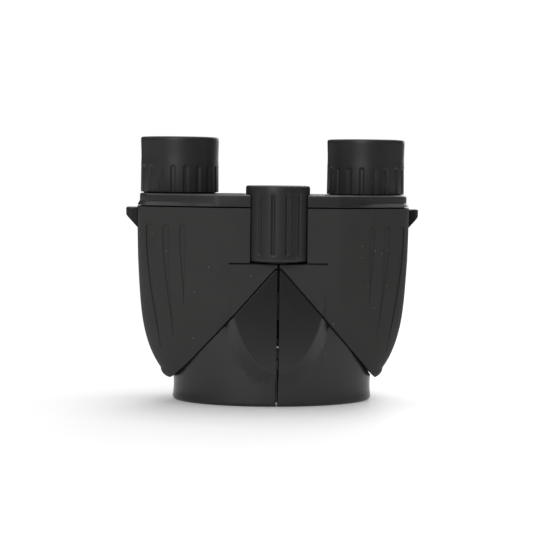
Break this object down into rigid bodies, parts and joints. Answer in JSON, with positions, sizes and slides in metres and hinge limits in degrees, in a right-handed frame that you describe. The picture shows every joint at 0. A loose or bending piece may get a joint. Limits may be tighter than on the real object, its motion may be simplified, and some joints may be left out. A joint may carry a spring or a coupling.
{
  "type": "compact binoculars",
  "caption": "Compact reverse-porro binoculars with a centre focus wheel, folding centre hinge, ribbed eyecups and fluted prism housings.",
  "frame": {"origin": "middle of the footprint on the ground plane, under the standing binoculars", "axes": "+X across the pair towards the right half, +Y from the top side (focus wheel, boss) to the underside, +Z from the objectives up to the eyecups"},
  "size_m": [0.113, 0.0526, 0.1002],
  "materials": {
    "housing_rubber_coat": "fine-grained soft-touch matte",
    "casing_satin": "satin",
    "cover_satin": "satin",
    "grip_rubber": "satin rubber",
    "knob_cap_plastic": "satin",
    "inner_plastic": "matte",
    "washer_plastic": "satin",
    "black_anodised": "black anodised",
    "screw_steel": "blackened",
    "spring_steel": "satin",
    "pin_steel": "satin",
    "brass": "turned",
    "coated_lens": "coated, faint blue to violet reflection",
    "lens_glass": "clear",
    "prism_glass": "clear"
  },
  "bodies": {
    "right_half": {"right_prism_housing": "housing_rubber_coat", "right_objective_casing": "casing_satin", "right_top_cover": "cover_satin", "right_cover_screws": "screw_steel", "right_objective_bezel": "black_anodised", "right_strap_lug": "casing_satin", "right_prism_shelf": "inner_plastic", "right_upper_prism": "prism_glass", "right_lower_prism": "prism_glass", "right_prism_clips": "spring_steel", "right_eyepiece_turret": "inner_plastic", "right_eyepiece_barrel": "black_anodised", "right_field_lens": "lens_glass", "right_eye_lens": "coated_lens", "right_eyepiece_retainer": "black_anodised", "right_eyecup": "grip_rubber", "hinge_axle": "pin_steel", "hinge_pin": "pin_steel", "thrust_washer": "washer_plastic", "axle_clip": "spring_steel"},
    "left_half": {"left_prism_housing": "housing_rubber_coat", "left_objective_casing": "casing_satin", "left_top_cover": "cover_satin", "left_cover_screws": "screw_steel", "left_objective_bezel": "black_anodised", "left_strap_lug": "casing_satin", "left_prism_shelf": "inner_plastic", "left_upper_prism": "prism_glass", "left_lower_prism": "prism_glass", "left_prism_clips": "spring_steel", "left_eyepiece_turret": "inner_plastic"},
    "focus_wheel": {"focus_knob": "grip_rubber", "knob_cap": "knob_cap_plastic", "focus_nut": "brass"},
    "right_focus_carriage": {"right_objective_cell": "black_anodised", "right_objective_crown": "coated_lens", "right_objective_flint": "lens_glass", "right_objective_retainer": "black_anodised", "right_focus_arm": "black_anodised", "focus_spindle": "pin_steel", "spindle_clip": "spring_steel"},
    "left_focus_carriage": {"left_objective_cell": "black_anodised", "left_objective_crown": "coated_lens", "left_objective_flint": "lens_glass", "left_objective_retainer": "black_anodised", "left_focus_arm": "black_anodised"},
    "left_dioptre_barrel": {"left_eyepiece_barrel": "black_anodised", "left_field_lens": "lens_glass", "left_eye_lens": "coated_lens", "left_eyepiece_retainer": "black_anodised"},
    "left_dioptre_cup": {"left_eyecup": "grip_rubber"}
  },
  "joints": [
    {"name": "eye_distance_fold", "type": "hinge", "parent": "right_half", "child": "left_half", "pos_m": [0, -0.0145, 0.03], "axis": [0, 0, 1], "range_deg": [-31, 0]},
    {"name": "focus_turn", "type": "hinge", "parent": "right_half", "child": "focus_wheel", "pos_m": [0, -0.0145, 0.07], "axis": [0, 0, 1], "range_deg": [-60, 390]},
    {"name": "right_focus_slide", "type": "slide", "parent": "right_half", "child": "right_focus_carriage", "axis": [0, 0, 1], "range_m": [-0.0006, 0.0039]},
    {"name": "left_focus_slide", "type": "slide", "parent": "left_half", "child": "left_focus_carriage", "axis": [0, 0, 1], "range_m": [-0.0006, 0.0039]},
    {"name": "dioptre_slide", "type": "slide", "parent": "left_half", "child": "left_dioptre_barrel", "axis": [0, 0, 1], "range_m": [-0.0003, 0.0017]},
    {"name": "dioptre_turn", "type": "hinge", "parent": "left_dioptre_barrel", "child": "left_dioptre_cup", "pos_m": [-0.036, 0.00985, 0.09], "axis": [0, 0, 1], "range_deg": [-12, 68]}
  ],
  "couplings": [
    {"joint": "focus_turn", "follows": "right_focus_slide", "rad_per_m": 1745.3},
    {"joint": "left_focus_slide", "follows": "right_focus_slide", "ratio": 1},
    {"joint": "dioptre_turn", "follows": "dioptre_slide", "rad_per_m": 698}
  ]
}
